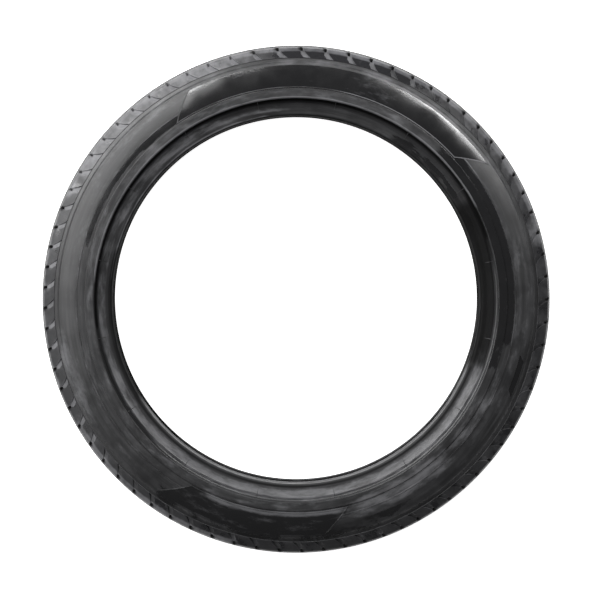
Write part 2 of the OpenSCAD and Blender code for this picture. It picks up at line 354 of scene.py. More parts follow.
def straight_groove(sizes, tread, groove):
    """Heights and radii over one straight groove: bevelled mouth, drafted walls, rounded floor."""
    z0, width = groove
    depth = tread.groove_depth / MM
    draft = depth * math.tan(math.radians(GROOVE_DRAFT))

    def half(d):
        """Half the groove's width at depth d."""
        return width / 2 - draft * (d + CUTTER_REACH) / (depth + CUTTER_REACH)

    low = FILLET_START * depth
    d = np.array([0, GROOVE_MOUTH, low, depth, depth, low, GROOVE_MOUTH, 0])
    w = np.array([half(0) + GROOVE_MOUTH, half(GROOVE_MOUTH), half(low), half(depth) - GROOVE_FILLET])
    z = z0 + np.concatenate([-w, w[::-1]])
    r = tread_radius(sizes, z0) - d
    r[[0, -1]] = tread_radius(sizes, z[[0, -1]])
    return z, r


def tread_rows(sizes, tread):
    """Rows of the tread, from the middle over grooves, ribs and blocks, round the corner and down
    the blocks' side: height z, radius r, share of the side that a row lies down it, and which rows
    lie on the side, in the cross grooves' ends there, on the slots and on the cross grooves."""
    (corner_r, corner_z), foot, _ = shoulder(sizes)
    inner_z, inner_r = straight_groove(sizes, tread, INNER_GROOVE)
    outer_z, outer_r = straight_groove(sizes, tread, OUTER_GROOVE)
    rib = np.array([31, 34.5, 38, SLOT_END - 0.2, SLOT_END + 0.2, 44.5, 48, 51.5, 55])
    cross_depth = tread.cross_depth / MM
    blocks = np.array([71.5, CROSS_START, CROSS_START + cross_depth, 88, 95, 101.5,
                       corner_z - 2 * cross_depth, LAST_ROW])
    arc = rounded([[tread_radius(sizes, LAST_ROW), LAST_ROW, 0], [corner_r, corner_z, CORNER_ROUND],
                   [*foot, 0]], 16)[1:-1]
    share = np.array([0.2, 0.3, OPEN_SHARE, OPEN_SHARE + 0.02, 0.5, 0.6, 0.7, 0.8, 0.88, FIN_TIP,
                      0.975, 1.0])
    sides = np.array([corner_r, corner_z]) + share[:, None] * [-BLOCK_H, BLOCK_OUT]
    z = np.concatenate([[MIDDLE_ROW], inner_z, rib, outer_z, blocks, arc[:, 1], sides[:, 1]])
    r = np.concatenate([tread_radius(sizes, np.array([MIDDLE_ROW])), inner_r, tread_radius(sizes, rib),
                        outer_r, tread_radius(sizes, blocks), arc[:, 0], sides[:, 0]])
    arc_end = float((corner_r - arc[-1, 0]) / BLOCK_H)
    down = np.concatenate([np.zeros(len(z) - len(arc) - len(share)),
                           np.linspace(0, arc_end, len(arc)), share])
    opened = down <= OPEN_SHARE + TINY
    return Rows(z, r, down, down > 0, (down > 0) & opened,
                (z > SLOT_END) & (z < OUTER_GROOVE[0]), (z >= CROSS_START) & opened)


def cut_columns(tread, rows):
    """Where the six columns of one cut lie beside its middle, clockwise, in each row.

    A slot or cross groove has two steep walls with its floor between them, and two columns on the
    block behind it. A fin has a straight edge that leans over at its foot, and its other edge
    moves away from it as the share of the side to the power FIN_CURVE.
    """
    down = rows.down
    edge = tread.cross_width / MM / 2
    fin = tread.fin_width / MM - 2 * edge
    none = np.zeros_like(rows.z)

    def walled(half, *behind):
        """A cut with steep walls, half its width to either side, and the columns behind it."""
        return np.stack([none - half, none - half + CUT_WALL, none + half - CUT_WALL, none + half,
                         *behind], 1)

    curve = edge + fin * down ** FIN_CURVE
    lean = np.clip((down - FIN_TURN) / (FIN_TIP - FIN_TURN), 0, 1) * (2 * edge + 1)
    low = np.where(down < FIN_TIP, lean - edge,
                   edge + 1 + (down - FIN_TIP) / (1 - FIN_TIP) * (fin - 1))
    inner_low, inner_high = low + FIN_LIP, curve - FIN_LIP
    third = (inner_high - inner_low) / 3
    fin_cut = np.stack([low, inner_low, inner_low + third, inner_low + 2 * third, inner_high, curve], 1)
    fin_cut[down >= 1] = edge + fin + np.linspace(-0.3, 0.3, CUT_COLUMNS)

    slot = SLOT_WIDTH / 2
    cut = np.where((rows.z < SLOT_ROWS_END)[:, None],
                   walled(slot, none + slot + 2.2, none + slot + 4.4),
                   walled(edge, none + edge + 0.4, none + edge + 0.8))
    fin_top = walled(edge, np.maximum(curve - FIN_LIP, edge + 0.05), np.maximum(curve, edge + 0.1))
    cut = np.where(rows.deep[:, None], fin_top, cut)
    return np.where((rows.side & ~rows.deep)[:, None], fin_cut, cut)


def column_angles(sizes, tread, rows, cut):
    """Angle of every column, [row, pitch, column]. A cut is moved clockwise by its slant times the
    distance along the axis, the columns on a block spread evenly from one cut to the next, and
    towards the middle of the tread all of them come to even spacing."""
    corner_z = shoulder(sizes)[0][1]
    slot_slope, cross_slope = (math.tan(math.radians(a)) for a in (SLOT_SLANT, CROSS_SLANT))
    groove_z = OUTER_GROOVE[0]
    places = [MIDDLE_ROW, SLOT_END, SLOT_MOUTH, CROSS_START, corner_z]
    shifts = [0.0, slot_slope * (groove_z - SLOT_END), slot_slope * (groove_z - SLOT_MOUTH),
              -cross_slope * (corner_z - CROSS_START), 0.0]
    shift = np.interp(rows.z, places, shifts)[:, None, None]

    pitch = np.arange(tread.pitches)
    per_mm = (180 / np.pi / rows.r)[:, None, None]
    first = groove_angle(tread, pitch)[None, :, None] + (shift + cut[:, None, :]) * per_mm
    following = np.concatenate([first[:, 1:, :1], first[:, :1, :1] + 360], 1)
    behind = COLUMNS - CUT_COLUMNS
    part = np.concatenate([[0.04], np.arange(1, behind) / behind])
    angle = np.concatenate([first, first[:, :, -1:] * (1 - part) + following * part], 2)

    place = pitch[None, :, None] + (np.arange(COLUMNS) - (CUT_COLUMNS - 1) / 2) / COLUMNS
    swung = smoothstep(rows.z, MIDDLE_ROW, EVEN_TO)[:, None, None]
    even = 360.0 * place / tread.pitches * (1 - swung) + groove_angle(tread, place) * swung
    spread = (1 - smoothstep(rows.z, *SPREAD))[:, None, None]
    return angle * (1 - spread) + (even + shift * per_mm) * spread


def cut_depths(sizes, tread, rows, cut, angle):
    """Radius and height of every column: the floors of slots and cross grooves, the fins, whose
    depth grows in proportion to the distance from their straight edge, and the wear bars."""
    corner_r, corner_z = shoulder(sizes)[0]
    z, down = rows.z, rows.down
    radius = np.broadcast_to(rows.r[:, None, None], angle.shape).copy()
    height = np.broadcast_to(z[:, None, None], angle.shape).copy()
    slot_floor = tread_radius(sizes, OUTER_GROOVE[0]) - SLOT_DEPTH
    radius[rows.slot, :, FLOOR] = np.minimum(radius[rows.slot, :, FLOOR], slot_floor)

    slope = tread.fin_depth / tread.fin_width
    fin_depth = np.clip(FIN_SHALLOW + slope * cut, FIN_LEAST, None)
    fin_depth *= (rows.side & (down < 1))[:, None]
    fin_depth[:, [0, -1]] = 0
    fin_depth[rows.deep, 3] *= smoothstep(down[rows.deep], 0, 0.2)
    side_length = math.hypot(BLOCK_H, BLOCK_OUT)
    radius[:, :, :CUT_COLUMNS] -= (fin_depth * BLOCK_OUT / side_length)[:, None]
    height[:, :, :CUT_COLUMNS] -= (fin_depth * BLOCK_H / side_length)[:, None]

    # a cross groove slopes in at its start, runs level with the tread and rises to its end
    depth = tread.cross_depth / MM
    turn_z = corner_z - 2 * depth
    rise = (depth - SIDE_OPEN) / (corner_z + OPEN_SHARE * BLOCK_OUT - turn_z)
    cross_floor = np.where(z < turn_z, tread_radius(sizes, z) - np.clip(z - CROSS_START, 0, depth),
                           corner_r - depth + (z - turn_z) * rise)[rows.cross, None, None]
    radius[rows.cross, :, FLOOR] = np.minimum(radius[rows.cross, :, FLOOR], cross_floor)
    height[rows.cross, :, FLOOR] = z[rows.cross, None, None]

    bars = (np.arange(BAR_COUNT) + 0.5) * 360 / BAR_COUNT
    away = np.radians(apart(angle[..., None], bars).min(-1))
    on_bar = away * rows.r[:, None, None] < BAR_LENGTH / 2
    for place, width in (INNER_GROOVE, OUTER_GROOVE):
        in_groove = np.abs(z - place)[:, None, None] < width / 2
        top = tread_radius(sizes, place) - tread.groove_depth / MM + BAR_HEIGHT
        radius = np.where(in_groove & on_bar, np.maximum(radius, top), radius)
    return radius, height


def tread_finish_light_and_shade(rows, angle, radius):
    """Attributes of the tread's finish and of its painted light and shade. The blocks' sides were
    polished in the mould and the fins' floors weren't. Slots and cross grooves are painted black as
    shade, except in the cross grooves' ends near the corner, where painted light fills them. The fins'
    dust also lightens their shaded walls as painted light, and the dust along the tread's corner is
    partly painted light."""
    deep = rows.deep
    shoulder_rows = rows.z > SHOULDER
    on_side = np.broadcast_to(rows.side[:, None, None], angle.shape)
    fin_floor = np.zeros(angle.shape)
    fin_floor[rows.side & (rows.down < 1), :, 1:CUT_COLUMNS] = 1
    fin_share = smoothstep(rows.down[deep], *FIN_BEGINS)[:, None, None]
    fin_floor[deep, :, FLOOR] = fin_share

    matt_and_painted_shade = FACE_MATT * (1 - on_side)
    # painted shade: the floors of slots and cross grooves are painted black
    matt_and_painted_shade[rows.cross | rows.slot, :, FLOOR] = 1
    matt_and_painted_shade[deep, :, CUT] = 1 - fin_share
    matt_and_painted_shade[rows.cross & shoulder_rows & ~rows.side, :, 3] = 1
    # painted light in the cross grooves' ends near the corner: it takes away their painted black and
    # lightens them
    lit = patches(angle, radius, CROSS_GROOVE_PAINTED_LIGHT)[shoulder_rows, :, CUT]
    matt_and_painted_shade[shoulder_rows, :, CUT] *= 1 - lit

    polish = on_side * (1 - fin_floor) * patches(angle, radius, BLOCK_GLOSS)
    # dust, and painted light along the tread's lit corner and on the fins' shaded walls
    dust_and_painted_light = np.maximum(patches(angle, radius, BLOCK_DUST_AND_LIGHT) * on_side,
                      patches(angle, radius, FIN_DUST_AND_LIGHT) * fin_floor)
    dust_and_painted_light[deep, :, CUT] *= fin_share
    dust_and_painted_light[shoulder_rows, :, CUT] = np.maximum(dust_and_painted_light[shoulder_rows, :, CUT], lit)
    return {"polish": polish, "dust_and_painted_light": dust_and_painted_light, "matt_and_painted_shade": matt_and_painted_shade}


def tread_half(sizes, tread):
    """Upper half of the tread, [row, column, 3], from the middle over the shoulder to its hidden foot,
    with the attributes of its finish and of its painted light and shade.

    A row is a circle at one place of the section. Across it, six columns in each pitch follow the
    cut that the row crosses (slanted rib slot, cross groove or fin-shaped opening) and six lie on
    the block behind it. A cut's inner columns drop to its floor, so its walls stand steep.
    """
    rows = tread_rows(sizes, tread)
    cut = cut_columns(tread, rows)
    angle = column_angles(sizes, tread, rows, cut)
    radius, height = cut_depths(sizes, tread, rows, cut, angle)
    columns = tread.pitches * COLUMNS
    points = ring_points(radius, angle, height).reshape(len(rows.z), columns, 3)

    # small step under the blocks, then the hidden foot inside the rubber
    (corner_r, _), (foot_r, foot_z), _ = shoulder(sizes)
    foot = np.array([[foot_r - STEP, foot_z - STEP / 2], [foot_r - 3.0, foot_z - 3.6],
                     [corner_r - 11.0, 110.0], [336.0, 60.0]])
    hidden = ring_points(foot[:, :1], angle[-1].reshape(1, columns), foot[:, 1:])
    finish_light_and_shade = {}
    for key, value in tread_finish_light_and_shade(rows, angle, radius).items():
        unseen = np.full((len(foot), columns), float(key == "matt_and_painted_shade"))
        finish_light_and_shade[key] = np.concatenate([value.reshape(len(rows.z), columns), unseen])
    return np.concatenate([points, hidden]), finish_light_and_shade


def make_tread(sizes, tread):
    """The tread with both rows of shoulder blocks, as one closed ring."""
    upper, finish_light_and_shade = tread_half(sizes, tread)
    columns = upper.shape[1]
    order = (COLUMNS * (tread.pitches // 2) + CUT_COLUMNS - 1 - np.arange(columns)) % columns
    lower = turned_half(upper, order)
    finish_light_and_shade = {key: np.concatenate([value[::-1], value[:, order]]) for key, value in finish_light_and_shade.items()}
    return closed_grid("tread", np.concatenate([upper[::-1], lower]), finish_light_and_shade)


# Sidewalls

PANELS = (-34.4, 48.0), (165.6, 209.4)  # start and end of the two smooth panels at their foot
PANEL_LEAN = 7.0  # how far their ends lean clockwise
BAND_R, PANEL_R, PANEL_TOP = 301.0, 292.0, 322.4  # feet of band and panels, top of the panels' ends
BAND_T, RIDGE_T, RIDGE_W = 0.5, 1.0, 1.8
RIDGE_SLOPE = 0.12  # what a steep side of the ridge at a panel's end takes up
NEAR = 0.1  # less than the rows or columns of a steep side lie apart
LABEL = 98.4, 107.6, 317.0, 323.8  # small bare recess: start, end, lowest and highest radius
FINE_RING, SEAT_RING = 0.28, 0.35  # height of the rings on the buttress and on the bead seat
PROTECTOR_OUT, GUTTER_W = 0.2, 1.5  # rim protector past the ridges, gap between it and the panels
FLANGE_IN, BEAD_W = 17.0, 22.0
HEEL_GRIP, TOE_GRIP, TOE_LAND = 0.5, 3.2, 3.0
CROWN_T, WALL_T = 15.2, 14.0
VENTS = 11.4 + np.arange(16) * 360 / 16  # angles of the vent lines
VENT_EDGES = -0.14, -0.07, 0.07, 0.14
VENT_FROM, VENT_TO, VENT_HEIGHT, VENT_DUST = 269.5, 276.5, 0.45, 0.3
WALL_COLUMNS, COLUMN_GAP = 780, 0.16  # even columns, and their least distance from an edge
FAR_SIDE_TURN = 150.0  # the lower sidewall's wear, painted light and painted shade lie elsewhere


def wall_section(sizes):
    """Section of a sidewall as four paths of [radius, height]: buttress with two fine rings, sidewall
    as a parabola over the radius, bead, and air side."""
    half_w, wheel_r = sizes.half_width / MM, sizes.wheel_radius / MM
    (_, corner_z), (foot_r, foot_z), (top_r, top_z) = shoulder(sizes)
    start, end = np.array([[foot_r - STEP, foot_z - STEP / 2], [top_r + STEP, top_z + BAND_T]])
    length = float(np.linalg.norm(end - start))
    along = (end - start) / length
    out = np.array([along[1], -along[0]])
    s = np.array([0, 2.4, 4.8, 5.25, 5.7, 6.01, 6.46, 6.91, length - 0.3])
    lift = np.array([0, 0, 0, FINE_RING, 0, 0, FINE_RING, 0, 0])
    buttress = start + s[:, None] * along + lift[:, None] * out

    wall_z = half_w - PROTECTOR_OUT - RIDGE_T
    wall_r = np.array([top_r, LABEL[3] + 0.2, LABEL[3], PANEL_TOP, 321, 319, LABEL[2], LABEL[2] - 0.2,
                       314.5, 312, 309.5, 307, 304.8, 303.3, BAND_R + RIDGE_W, BAND_R + RIDGE_W - 0.4,
                       BAND_R + 0.4, BAND_R, 300.4, 298.5, 296.5, 294.8,
                       PANEL_R + RIDGE_W, PANEL_R + RIDGE_W - 0.4, PANEL_R + 0.4, PANEL_R])
    wall_h = wall_z - (wall_z - top_z) * ((wall_r - PANEL_R) / (top_r - PANEL_R)) ** 2

    # rim protector, crevice, flange slope, heel and seat
    heel_r, toe_r, edge_r = wheel_r - HEEL_GRIP, wheel_r - TOE_GRIP, PANEL_R - GUTTER_W
    flange_z, toe_z = half_w - FLANGE_IN, half_w - FLANGE_IN - BEAD_W
    flat = [[radius, half_w, 0] for radius in (288.6, 286.6, 284.4, 282.4, 280.8)]
    bead = rounded([[PANEL_R, wall_z, 0], [edge_r, wall_z, 0.3], [edge_r, half_w, 0.4], *flat,
                    [279, half_w, 1], [277.2, half_w - 1.7, 0.5], [276.6, half_w - 7, 0.4],
                    [275, half_w - 7.6, 0.5], [271.8, flange_z + 3.5, 2.5], [262.6, flange_z + 0.6, 5],
                    [heel_r, flange_z, 8], [toe_r, toe_z + TOE_LAND, 0]], 20)[1:]
    heel_end, toe = bead[-2], bead[-1]
    seat_t = np.array([0.3, 0.34, 0.38, 0.52, 0.56, 0.6, 0.74, 0.78, 0.82])
    seat = heel_end + seat_t[:, None] * (toe - heel_end)
    seat[1::3, 0] -= SEAT_RING
    bead = np.concatenate([bead[:-1], seat, bead[-1:]])

    liner_r = sizes.outer_radius / MM - CROWN_T
    liner = rounded([[toe_r, toe_z + TOE_LAND, 0], [toe_r, toe_z, 0], [toe_r + 1.5, toe_z - 1.5, 1],
                     [wheel_r + 11.3, toe_z + 3.5, 14], [PANEL_R, half_w - WALL_T, 24],
                     [top_r - 2, half_w - WALL_T - 1, 24], [liner_r - 1, corner_z - 20, 26],
                     [liner_r, corner_z - 55, 200], [liner_r, 0, 0]], 14)[1:]
    return buttress, np.stack([wall_r, wall_h], 1), bead, liner


def wall_columns(wall_height):
    """Column angles of a sidewall, evenly spaced and closer where an edge or a vent line runs, and
    the width in degrees of the ridge at a panel's end, which leans as the end does."""
    ridge = RIDGE_W * math.hypot(1, math.radians(PANEL_LEAN) * PANEL_R / wall_height)
    ridge = math.degrees(ridge / PANEL_R)
    marks = [LABEL[0], LABEL[0] + 0.1, LABEL[1] - 0.1, LABEL[1]]
    for start, end in PANELS:
        marks += [start, start + RIDGE_SLOPE, start + ridge - RIDGE_SLOPE, start + ridge,
                  end - ridge, end - ridge + RIDGE_SLOPE, end - RIDGE_SLOPE, end]
    marks = np.concatenate([marks, *(VENTS + edge for edge in VENT_EDGES)]) % 360
    even = np.arange(WALL_COLUMNS) * 360 / WALL_COLUMNS
    even = even[apart(even[:, None], marks).min(1) > COLUMN_GAP]
    return np.sort(np.concatenate([even, marks])), ridge


def wall_raise(wall_r, angles, ridge):
    """Raise of band, panels and ridges over the parabola, [row, column], and which points lie in
    the smooth panels and in the small recess."""
    row_r = wall_r[:, None]
    inside, end_ridge = np.zeros((2, len(angles)), bool)
    for start, end in PANELS:
        turn, span = (angles - start) % 360, end - start
        inside |= (turn > TINY) & (turn < span - TINY)
        for low in (0, span - ridge):
            end_ridge |= (turn > low + RIDGE_SLOPE - TINY) & (turn < low + ridge - RIDGE_SLOPE + TINY)

    def ridged_band(foot):
        """Raise of a band that starts at radius foot with a ridge."""
        on_ridge = (row_r > foot + NEAR) & (row_r < foot + RIDGE_W - NEAR)
        return np.where(on_ridge, RIDGE_T, np.where(row_r >= foot + RIDGE_W - TINY, BAND_T, 0.0))

    in_reach = row_r < PANEL_TOP + NEAR
    raised = np.where(inside, ridged_band(PANEL_R), ridged_band(BAND_R))
    raised = np.where(end_ridge & (row_r > PANEL_R + NEAR) & in_reach, RIDGE_T, raised)
    turn = (angles - LABEL[0]) % 360
    label = (turn > NEAR / 2) & (turn < LABEL[1] - LABEL[0] - NEAR / 2)
    label = label & (row_r > LABEL[2] - NEAR) & (row_r < LABEL[3] + NEAR)
    return np.where(label, 0.0, raised), inside & in_reach, label


def wall_half(sizes, patch_turn):
    """Upper sidewall, bead and air side, [row, column, 3], with attributes for its finish and its
    painted light and shade, whose patches are turned by patch_turn, and the number of rows on the air
    side.

    A row follows the section. Columns lean clockwise up the sidewall, as the panels' ends do, so
    that every ridge runs along a row or a column. Height is the sidewall's parabola plus the raise
    of band, panels and ridges.
    """
    paths = wall_section(sizes)
    buttress, wall, _, liner = paths
    r, z = np.concatenate(paths).T
    wall_r, top_r = wall[:, 0], wall[0, 0]
    angles, ridge = wall_columns(top_r - PANEL_R)
    raised, smooth, label = wall_raise(wall_r, angles, ridge)
    on_liner = np.arange(len(r)) >= len(r) - len(liner)
    on_wall = slice(len(buttress), len(buttress) + len(wall))
    lean = PANEL_LEAN * np.clip((r - PANEL_R) / (top_r - PANEL_R), 0, 1) * ~on_liner
    height = np.repeat(z[:, None], len(angles), 1)
    height[on_wall] += raised

    # vent lines: low radial ridges across the recess under the rim protector
    vent_lines = np.ix_((r > VENT_FROM) & (r < VENT_TO) & ~on_liner,
                        apart(angles[:, None], VENTS).min(1) < NEAR)
    height[vent_lines] += VENT_HEIGHT

    # polish: polished mould or rubbed rubber; then dust, and painted light where the rubber faces the
    # lights and along lit edges; then dull places, and painted shade in recesses and where the rubber
    # faces away from the lights
    around = angles[None] + lean[:, None] + patch_turn
    polish, dust_and_painted_light, matt_and_painted_shade = (patches(around, r[:, None], table)
                          for table in (WALL_GLOSS, WALL_DUST_AND_LIGHT, WALL_MATT_AND_SHADE))
    on_ridge = raised >= RIDGE_T
    polish[on_wall] = np.maximum(polish[on_wall], smooth | label) * ~on_ridge
    ridge_lightening = patches(around[on_wall], wall_r[:, None], RIDGE_LIGHTENING)
    dust_and_painted_light[on_wall] = np.maximum(dust_and_painted_light[on_wall] * ~label, ridge_lightening * on_ridge)
    dust_and_painted_light[vent_lines] = VENT_DUST
    matt_and_painted_shade[vent_lines] = 0.0

    # three hidden rows close the ring inside the rubber
    (step_r, step_z), liner_r = buttress[0], liner[-1, 0]
    hidden = np.array([[liner_r + 2.5, 0.0], [liner_r + 2.5, 95.0], [step_r - 1.2, step_z - 2.65]])
    inner = ring_points(hidden[:, :1], (angles + PANEL_LEAN)[None], hidden[:, 1:])
    inner[0] = ring_points(hidden[0, 0], angles, 0.0)
    points = np.concatenate([inner, ring_points(r[:, None], angles[None] + lean[:, None], height)])
    unseen = np.zeros((len(hidden), len(angles)))
    finish_light_and_shade = {key: np.concatenate([unseen, value])
              for key, value in (("polish", polish), ("dust_and_painted_light", dust_and_painted_light), ("matt_and_painted_shade", matt_and_painted_shade))}
    return points, finish_light_and_shade, len(liner)


def make_walls(sizes):
    """Both sidewalls with their beads and air side, each a closed ring. The lower is the upper one
    turned half round the X axis."""
    sides = ("upper_sidewall", False, 0.0), ("lower_sidewall", True, FAR_SIDE_TURN)
    pieces = []
    for name, lower, patch_turn in sides:
        points, finish_light_and_shade, liner_rows = wall_half(sizes, patch_turn)
        columns = points.shape[1]
        if lower:
            order = np.arange(columns)[::-1]
            points = turned_half(points, order)
            finish_light_and_shade = {key: value[:, order] for key, value in finish_light_and_shade.items()}
        piece = closed_grid(name, points, finish_light_and_shade)
        air_side = np.arange(len(points)) >= len(points) - liner_rows
        piece.data.polygons.foreach_set("material_index", np.repeat(air_side, columns).astype(int))
        pieces.append(piece)
    return pieces


# Materials

def linear(hex_colour, alpha=1.0):
    """Linear RGBA from an sRGB hex value."""
    value = np.array([int(hex_colour[i:i + 2], 16) / 255 for i in (1, 3, 5)])
    value = np.where(value <= 0.04045, value / 12.92, ((value + 0.055) / 1.055) ** 2.4)
    return (*value.tolist(), alpha)


def add_node(tree, kind, inputs=None, **settings):
    """A shader node with its settings. inputs maps a socket to a value or to another node's output."""
    node = tree.nodes.new(kind)
    for key, value in settings.items():
        setattr(node, key, value)
    for socket, value in (inputs or {}).items():
        if isinstance(value, bpy.types.NodeSocket):
            tree.links.new(value, node.inputs[socket])
        else:
            node.inputs[socket].default_value = value
    return node


def new_material(name):
    """An empty node material: (material, tree, its output node)."""
    material = bpy.data.materials.new(name)
    material.use_nodes = True
    material.node_tree.nodes.clear()
    return material, material.node_tree, add_node(material.node_tree, "ShaderNodeOutputMaterial")


def round_coordinates(tree, around, across):
    """Coordinates that stretch a pattern along the tyre's circles: the direction from the axis times
    around, and the radius and height times across."""
    place = add_node(tree, "ShaderNodeTexCoord").outputs["Object"]
    flat = add_node(tree, "ShaderNodeVectorMath", {0: place, 1: (1, 1, 0)}, operation="MULTIPLY")
    direction = add_node(tree, "ShaderNodeVectorMath", {0: flat.outputs[0]}, operation="NORMALIZE")
    circle = add_node(tree, "ShaderNodeVectorMath", {0: direction.outputs[0], "Scale": around},
                      operation="SCALE")
    radius = add_node(tree, "ShaderNodeVectorMath", {0: flat.outputs[0]}, operation="LENGTH")
    height = add_node(tree, "ShaderNodeSeparateXYZ", {0: place}).outputs["Z"]
    profile = add_node(tree, "ShaderNodeMath", {0: radius.outputs["Value"], 1: height}, operation="ADD")
    lifted = add_node(tree, "ShaderNodeMath", {0: profile.outputs[0], 1: across}, operation="MULTIPLY")
    up = add_node(tree, "ShaderNodeCombineXYZ", {"Z": lifted.outputs[0]})
    return add_node(tree, "ShaderNodeVectorMath", {0: circle.outputs[0], 1: up.outputs[0]},
                    operation="ADD").outputs[0]


def noise(tree, vector, scale, detail=4.0, roughness=0.55):
    """Output of a noise texture; a scale of 1 has bumps about one metre wide."""
    return add_node(tree, "ShaderNodeTexNoise", {"Vector": vector, "Scale": scale, "Detail": detail,
                                                 "Roughness": roughness}).outputs[0]


def ramp(tree, value, start, end, low=0.0, high=1.0):
    """Smooth change from low to high while value goes from start to end."""
    return add_node(tree, "ShaderNodeMapRange", {"Value": value, 1: start, 2: end, 3: low, 4: high},
                    interpolation_type="SMOOTHSTEP").outputs[0]


def maths(tree, operation, *values):
    """Output of a maths node."""
    return add_node(tree, "ShaderNodeMath", dict(enumerate(values)), operation=operation).outputs[0]


def finish_light_shade_attribute(tree, key):
    """Output of one of the meshes' attributes of finish and painted light: polish, dust with painted
    light, or dull places with painted shade.
    """
    return add_node(tree, "ShaderNodeAttribute", attribute_name=key).outputs["Fac"]


def filmed_rubber(tree, base, film_colour, film, roughness, relief):
    """Shader of black rubber under a thin dull film, with its moulded grain as a bump; the film also
    carries painted light. The attribute for dull places and painted shade marks places with little
    shine, and from 0.6 up it darkens the colour towards black, as painted shade in recesses and where
    the rubber faces away from the lights."""
    matt_and_painted_shade = finish_light_shade_attribute(tree, "matt_and_painted_shade")
    colour = add_node(tree, "ShaderNodeMix", {0: film, 6: base, 7: film_colour},
                      data_type="RGBA").outputs[2]
    # painted shade: from 0.6 up the attribute darkens the colour towards black
    colour = add_node(tree, "ShaderNodeMix", {0: ramp(tree, matt_and_painted_shade, 0.6, 1.0, 0.0, 0.9), 6: colour,
                                              7: (0, 0, 0, 1)}, data_type="RGBA").outputs[2]
    bump = add_node(tree, "ShaderNodeBump", {"Height": relief, "Strength": 1.0, "Distance": 0.001})
    shine = maths(tree, "MULTIPLY_ADD", matt_and_painted_shade, -0.42, 0.5)
    return add_node(tree, "ShaderNodeBsdfPrincipled",
                    {"Base Color": colour, "Roughness": roughness, "IOR": 1.5,
                     "Specular IOR Level": shine, "Normal": bump.outputs[0]}).outputs[0]


def sidewall_rubber(rubber):
    """Carbon-black sidewall rubber, moulded: satin, with gloss where the mould was polished or the
    rubber was rubbed, and a dull grey film of wax and dust, drawn out round the tyre, elsewhere. The
    film is thickened as painted light where the rubber faces the lights and along lit edges, and the
    colour is darkened as painted shade in recesses."""
    material, tree, output = new_material("moulded_sidewall_rubber")
    place = add_node(tree, "ShaderNodeTexCoord").outputs["Object"]
    streak = noise(tree, round_coordinates(tree, 2.4, 260.0), 1.0, 6.0, 0.65)
    smear = noise(tree, round_coordinates(tree, 9.0, 110.0), 1.0, 6.0, 0.65)
    cloud = noise(tree, place, 26.0, 5.0, 0.6)

    # ragged edges of the glossy places
    edge = maths(tree, "MULTIPLY_ADD", smear, 2.0, finish_light_shade_attribute(tree, "polish"))
    gloss = ramp(tree, edge, 1.42, 1.68)
    dull = maths(tree, "SUBTRACT", 1.0, gloss)

    # film: a thin uneven one everywhere, thicker in the dusty patches and where light is painted,
    # thinnest on the gloss
    dust_and_light_amount = maths(tree, "MULTIPLY_ADD", smear, 2.2, finish_light_shade_attribute(tree, "dust_and_painted_light"))
    dust_and_light_amount = ramp(tree, dust_and_light_amount, 1.4, 2.3, 0.0, 0.42)
    thin = maths(tree, "MULTIPLY", ramp(tree, streak, 0.26, 0.78, 0.0, 0.15),
                 ramp(tree, cloud, 0.3, 0.65, 0.3, 1.0))
    film = maths(tree, "ADD", maths(tree, "MULTIPLY", thin, dull), dust_and_light_amount)
    roughness = maths(tree, "MULTIPLY_ADD", dull, 0.2, ramp(tree, cloud, 0.3, 0.7, 0.14, 0.24))
    roughness = maths(tree, "MULTIPLY_ADD", finish_light_shade_attribute(tree, "matt_and_painted_shade"), 0.3, roughness)

    # grain of the sand-blasted mould, about 1.3 mm wide, and slow waves of the cords, about 60 mm
    grain = maths(tree, "MULTIPLY", noise(tree, place, 750.0, 2.0), 0.1)
    waves = maths(tree, "MULTIPLY", noise(tree, place, 16.0, 1.0), 1.6)
    relief = maths(tree, "ADD", maths(tree, "MULTIPLY", grain, dull), waves)
    shader = filmed_rubber(tree, linear(rubber.wall_colour), linear(rubber.haze_and_light_colour), film,
                           roughness, relief)
    tree.links.new(shader, output.inputs[0])
    return material


def tread_rubber(rubber):
    """Carbon-black tread compound, moulded: dull and a little grey, with dust in its grain, and glossy
    on the blocks' sides. Its dust film also carries painted light, in the cross grooves' ends, along
    the corner and on the fins' walls, and its slots and grooves are painted black as shade."""
    material, tree, output = new_material("moulded_tread_rubber")
    place = add_node(tree, "ShaderNodeTexCoord").outputs["Object"]
    cloud = noise(tree, place, 40.0, 5.0, 0.6)
    smear = noise(tree, round_coordinates(tree, 12.0, 90.0), 1.0, 5.0, 0.6)
    edge = maths(tree, "MULTIPLY_ADD", smear, 2.0, finish_light_shade_attribute(tree, "polish"))
    dull = maths(tree, "SUBTRACT", 1.0, ramp(tree, edge, 1.5, 1.85))
    # dust film, which also carries painted light
    dust_and_light_amount = maths(tree, "MULTIPLY_ADD", cloud, 1.6, finish_light_shade_attribute(tree, "dust_and_painted_light"))
    film = maths(tree, "MULTIPLY_ADD", dull, ramp(tree, cloud, 0.35, 0.7, 0.01, 0.1),
                 ramp(tree, dust_and_light_amount, 1.0, 1.8, 0.0, 0.5))
    roughness = maths(tree, "MULTIPLY_ADD", dull, 0.26, 0.18)
    roughness = maths(tree, "MULTIPLY_ADD", finish_light_shade_attribute(tree, "matt_and_painted_shade"), 0.3, roughness)
    grain = maths(tree, "MULTIPLY", noise(tree, place, 650.0, 2.0), 0.12)
    shader = filmed_rubber(tree, linear(rubber.tread_colour), linear(rubber.haze_and_light_colour), film,
                           roughness, maths(tree, "MULTIPLY", grain, dull))
    tree.links.new(shader, output.inputs[0])
    return material


